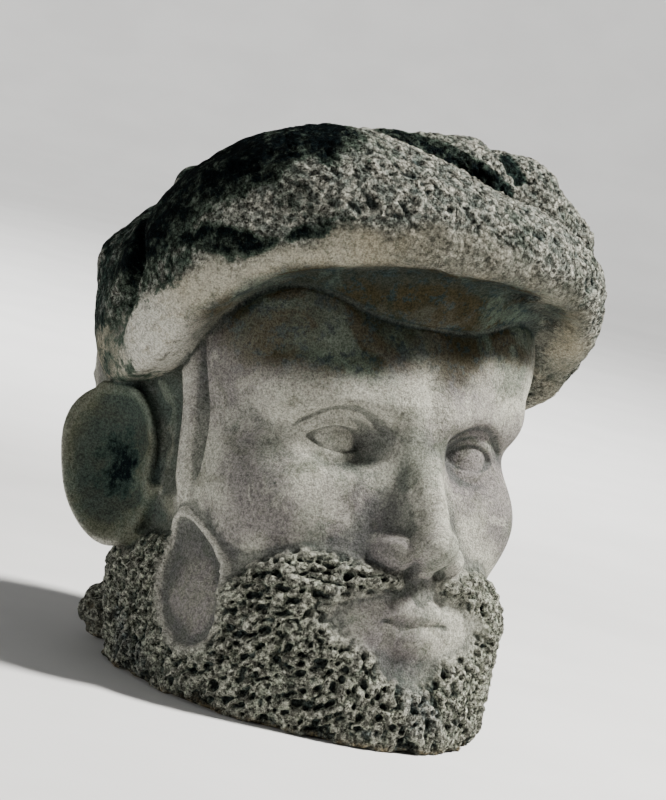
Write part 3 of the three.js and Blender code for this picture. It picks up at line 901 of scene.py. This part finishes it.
# The colour of painted light on the rims, the strap and the near end of the roll
PAINTED_LIGHT_STONE = (0.47, 0.457, 0.395)
MOSSY_STONE = (0.37, 0.39, 0.30)
GREY_STONE = (0.15, 0.165, 0.143)
LILAC_STONE = (0.165, 0.152, 0.145)
DULL_STONE = (0.145, 0.143, 0.118)
GREEN_FILM = (0.072, 0.092, 0.07)
OLIVE_FILM = (0.07, 0.076, 0.05)
BLUE_FILM = (0.075, 0.10, 0.125)
DARK_ALGAE = (0.003, 0.006, 0.007)
MID_ALGAE = (0.03, 0.046, 0.038)
# Dirt and painted shade together: under the cap, in hollows and in creases
BROWN_SHADE_AND_DIRT = (0.034, 0.029, 0.015)
SHADE_GREEN = (0.026, 0.027, 0.016)
PIT_SHADE_AND_DIRT = (0.022, 0.032, 0.031)
BROWN_BREAK = (0.20, 0.145, 0.068)
RUST = (0.15, 0.058, 0.022)
RUST_AT = to_part(np.array((-95.0, -6.0, 66.0)))
RUST_RADII = (0.0085, 0.0045)     # where it starts and where it is full, in metres

# The noises that the colours follow, from broad to fine: scale for each metre, detail, roughness and twist
NOISES = {
    "clouds": (13, 5, 0.6, 0.0),
    "patches": (30, 6, 0.65, 0.5),
    "stains": (62, 6, 0.7, 0.8),
    "mottle": (150, 6, 0.72, 0.0),
    "froth": (330, 5, 0.75, 0.0),
    "speck": (520, 4, 0.7, 0.0),
    "grain": (1100, 3, 0.7, 0.0),
}

# How deep the finest relief is, in metres, and how little of the dry stone shines
FROTH_DEPTH = 0.009
SPECK_DEPTH = 0.003
GRAIN_DEPTH = 0.0009
SHINE = 0.02


def bare_stone(s, masks, n):
    """The stone of the face, of the cap's roll and of its weathered part."""
    face = s.mix(s.between(n["clouds"], 0.42, 0.58), LILAC_STONE, PALE_STONE)
    face = s.layered(face, (
        (n["patches"], 0.51, 0.63, 0.5, GREEN_FILM),
        (n["stains"], 0.53, 0.62, 0.4, OLIVE_FILM),
        (n["stains"], 0.46, 0.38, 0.5, PALE_STONE),
    ))
    roll = s.layered(WARM_STONE, (
        (n["clouds"], 0.40, 0.62, 0.5, PALE_STONE),
        (n["patches"], 0.50, 0.62, 0.7, DULL_STONE),
        (n["stains"], 0.53, 0.62, 0.6, OLIVE_FILM),
    ))
    worn = s.mix(s.between(n["mottle"], 0.44, 0.60), GREY_STONE, PALE_STONE)
    worn = s.layered(worn, ((n["patches"], 0.50, 0.62, 0.6, GREEN_FILM),))
    return s.mix(masks["weathered"], s.mix(masks["cap"], face, roll), worn)


def own_colours_with_painted_shade_and_light(s, colour, masks, n):
    """The places with a colour of their own: the ear, the drop and the beard. Under the cap the colour is
    dirt and painted shade, and the rims get painted light.
    """
    # Painted shade with dirt, under the cap and in its shadow on the forehead
    shade = s.mix(s.between(n["clouds"], 0.42, 0.58), SHADE_GREEN, GREEN_FILM)
    shade = s.mix(s.between(n["patches"], 0.47, 0.55), BROWN_SHADE_AND_DIRT, shade)
    shade = s.mix(s.between(n["mottle"], 0.50, 0.40), shade, PIT_SHADE_AND_DIRT)
    colour = s.mix(masks["dirt_and_painted_shade_below_cap"], colour, shade)
    ear = s.mix(s.between(n["patches"], 0.42, 0.6), OLIVE_FILM, GREEN_FILM)
    ear = s.layered(ear, ((n["clouds"], 0.52, 0.7, 0.4, LILAC_STONE),))
    colour = s.mix(s.both(masks["ear"], 0.93), colour, ear)
    drop = s.mix(s.between(n["mottle"], 0.4, 0.62), LILAC_STONE, DULL_STONE)
    colour = s.mix(s.both(masks["drop"], 0.85), colour, drop)
    # Painted light on the strap, the drop's rim, the ear's rim and the near end of the roll
    colour = s.mix(s.both(masks["pale"], s.between(n["mottle"], 0.3, 0.5)), colour, PAINTED_LIGHT_STONE)
    beard = s.mix(s.between(n["mottle"], 0.36, 0.56), GREEN_FILM, MOSSY_STONE)
    beard = s.layered(beard, (
        (n["patches"], 0.54, 0.64, 0.6, BLUE_FILM),
        (n["stains"], 0.51, 0.60, 0.6, OLIVE_FILM),
    ))
    return s.mix(s.both(masks["beard"], 0.8), colour, beard)


def wear_growth_and_crease_shade(s, colour, masks, n):
    """Dirt and painted shade in hollows, rubbed crests, green and black growth, the fresh break, painted
    shade in creases and the rust spot.
    """
    rough = s.most(masks["beard"], masks["weathered"])
    # Darker towards the hollows: dirt and painted shade
    low = s.math("ADD", masks["hollow"], s.swing(n["mottle"], 0.9))
    high = s.both(masks["hollow"], -1.0)
    flecks = s.math("ADD", masks["growth_with_painted_shade"], s.swing(n["mottle"], 1.9))
    film = s.mix(s.between(n["clouds"], 0.4, 0.6), MID_ALGAE, GREEN_FILM)
    black = s.mix(s.between(n["speck"], 0.58, 0.72), DARK_ALGAE, MID_ALGAE)
    colour = s.layered(colour, (
        (low, -0.05, 0.75, s.share(0.55, rough, 0.35), PIT_SHADE_AND_DIRT),
        (high, 0.15, 0.9, s.share(0.08, rough, 0.5), PALE_STONE),
        (flecks, 0.22, 0.55, 1.0, film),
        (flecks, 0.52, 0.86, 1.0, black),
    ))
    back = s.mix(s.between(n["mottle"], 0.4, 0.6), BROWN_BREAK, GREY_STONE)
    colour = s.mix(s.both(masks["broken"], 0.75), colour, back)
    # Painted shade in the seam under the cap and in the ear's undercut
    colour = s.mix(s.both(masks["crease"], 0.75), colour, PIT_SHADE_AND_DIRT)
    from_rust = s.math("ADD", s.distance(tuple(RUST_AT)), s.both(n["mottle"], 0.006))
    return s.layered(colour, ((from_rust, *RUST_RADII, 0.8, RUST),))


def grain_with_pit_shade_and_crest_light(s, colour, masks, n, rough):
    """Painted shade, partly dark growth, in the fine pits and painted highlights on their crests, but none
    where growth and painted shade lie.
    """
    bare = s.math("SUBTRACT", 1.0, s.between(masks["growth_with_painted_shade"], 0.3, 0.8))
    # Shaded and lit copies of the colour along the froth relief: painted shade and painted light
    froth_shade_and_light = s.mix(s.between(n["froth"], 0.44, 0.56), s.times(colour, 0.3), s.times(colour, 1.45))
    colour = s.mix(s.share(0.1, rough, 0.8), colour, froth_shade_and_light)
    # Painted shade, partly dark growth, in the fine pits
    pocks = s.both(s.between(n["speck"], 0.46, 0.40), s.share(0.35, rough, 0.6))
    colour = s.mix(pocks, colour, s.times(colour, 0.1))
    colour = s.mix(s.between(n["grain"], 0.42, 0.58), s.times(colour, 0.72), s.times(colour, 1.22))
    # Painted highlights on the crests
    crest = s.both(s.between(n["speck"], 0.52, 0.60), s.share(0.12, rough, 0.85))
    return s.mix(s.both(crest, bare), colour, s.times(colour, 1.9))


def stone_material(mask_names):
    s = Shades("weathered_stone")
    masks = {name: s.made(name) for name in mask_names}
    n = {name: s.noise(*kind) for name, kind in NOISES.items()}
    colour = wear_growth_and_crease_shade(s, own_colours_with_painted_shade_and_light(s, bare_stone(s, masks, n), masks, n), masks, n)
    rough = s.most(masks["beard"], masks["weathered"], masks["broken"])
    normal = s.bump(s.both(n["froth"], s.math("ADD", 0.04, rough)), FROTH_DEPTH, 1.0)
    normal = s.bump(s.both(n["speck"], s.share(0.3, rough, 0.7)), SPECK_DEPTH, 1.0, normal)
    s.surface({
        "Base Color": grain_with_pit_shade_and_crest_light(s, colour, masks, n, rough),
        "Roughness": s.math("ADD", 0.86, s.swing(n["mottle"], 0.16)),
        "Normal": s.bump(n["grain"], GRAIN_DEPTH, 0.9, normal),
        "Specular IOR Level": SHINE,
    })
    return s.material


def floor_material():
    s = Shades("pale_floor")
    grain = s.between(s.noise(9, 3, 0.5, 0.0), 0.3, 0.7)
    s.surface({"Base Color": s.mix(grain, (0.70, 0.695, 0.68), (0.74, 0.735, 0.72)), "Roughness": 0.8})
    return s.material


# The studio: a round floor whose edge sweeps up all around, and soft lamps
FLOOR_RADIUS = 3.2
SWEEP_RADIUS = 1.6
SWEEP_STEPS = 12
FLOOR_STEPS = 96
MIDDLE = Vector((0, 0, 0.15))


def make_floor():
    work = bmesh.new()
    profile = [work.verts.new((0, 0, 0)), work.verts.new((FLOOR_RADIUS, 0, 0))]
    for step in range(1, SWEEP_STEPS + 1):
        bend = radians(90 * step / SWEEP_STEPS)
        out, up = SWEEP_RADIUS * sin(bend), SWEEP_RADIUS * (1 - cos(bend))
        profile.append(work.verts.new((FLOOR_RADIUS + out, 0, up)))
    edges = [work.edges.new(pair) for pair in zip(profile[:-1], profile[1:])]
    bmesh.ops.spin(work, geom=profile + edges, axis=(0, 0, 1), cent=(0, 0, 0), angle=radians(360),
                   steps=FLOOR_STEPS, use_merge=True)
    bmesh.ops.remove_doubles(work, verts=work.verts, dist=1e-5)
    bmesh.ops.recalc_face_normals(work, faces=work.faces)
    bmesh.ops.reverse_faces(work, faces=work.faces)
    mesh = bpy.data.meshes.new("floor")
    work.to_mesh(mesh)
    work.free()
    mesh.polygons.foreach_set("use_smooth", [True] * len(mesh.polygons))
    floor = bpy.data.objects.new("floor", mesh)
    bpy.context.scene.collection.objects.link(floor)
    mesh.materials.append(floor_material())


def make_lamp(name, place, aim, size, power, colour=(1.0, 1.0, 1.0)):
    light = bpy.data.lights.new(name, "AREA")
    light.shape = "DISK"
    light.size = size
    light.energy = power
    light.color = colour
    lamp = bpy.data.objects.new(name, light)
    lamp.location = place
    lamp.rotation_mode = "QUATERNION"
    lamp.rotation_quaternion = (Vector(place) - Vector(aim)).to_track_quat("Z", "Y")
    bpy.context.scene.collection.objects.link(lamp)


# The camera, at the photograph's viewing angle on the head. The anchor, a point at the front of the head,
# falls on the anchor's pixel.
VIEW = {"turn": radians(34), "rise": radians(-3), "roll": radians(7), "distance": 1400}
MM_PER_PIXEL = 0.38
ANCHOR = Vector((0, -95, 0))
ANCHOR_PIXEL = (425, 445)
PICTURE = (666, 800)
SENSOR = 36.0


def make_camera():
    """Sets the camera and gives its ways to the right, up and back."""
    turn, rise, roll = VIEW["turn"], VIEW["rise"], VIEW["roll"]
    back = Vector((-sin(turn) * cos(rise), -cos(turn) * cos(rise), sin(rise)))
    level = Vector((cos(turn), -sin(turn), 0))
    right = level * cos(roll) + back.cross(level) * sin(roll)
    up = back.cross(right)
    across = (ANCHOR_PIXEL[0] - PICTURE[0] / 2) * MM_PER_PIXEL
    above = (PICTURE[1] / 2 - ANCHOR_PIXEL[1]) * MM_PER_PIXEL
    place = ANCHOR - right * across - up * above + back * VIEW["distance"]
    to_frame = Matrix(TURN.tolist())
    right, up, back = (to_frame @ way for way in (right, up, back))
    place = Vector(to_part(np.array(place)))
    data = bpy.data.cameras.new("camera")
    data.sensor_width = SENSOR
    data.lens = SENSOR * VIEW["distance"] / (MM_PER_PIXEL * PICTURE[1])
    data.clip_start = 0.05
    camera = bpy.data.objects.new("camera", data)
    columns = [(*way, end) for way, end in ((right, 0), (up, 0), (back, 0), (place, 1))]
    camera.matrix_world = Matrix(columns).transposed()
    bpy.context.scene.collection.objects.link(camera)
    bpy.context.scene.camera = camera
    return right, up, back


def make_studio():
    make_floor()
    right, up, back = make_camera()
    make_lamp("key", MIDDLE + right * 1.3 + up * 1.05 + back * 0.1, MIDDLE, 0.24, 112, (1.0, 0.985, 0.955))
    make_lamp("fill", MIDDLE - right * 1.5 + up * 0.2 + back * 1.0, MIDDLE, 0.8, 20, (0.97, 0.985, 1.0))
    make_lamp("top", Vector((0, 0, 2.2)), MIDDLE, 1.6, 4)
    make_lamp("backdrop", MIDDLE - back * 1.0 + up * 1.6, MIDDLE - back * 4.6 + up * 0.6, 1.8, 120)
    world = bpy.data.worlds.new("studio")
    bpy.context.scene.world = world
    world.use_nodes = True
    background = world.node_tree.nodes["Background"]
    background.inputs["Color"].default_value = (0.9, 0.92, 0.95, 1)
    background.inputs["Strength"].default_value = 0.09


make_studio()
make_stone()
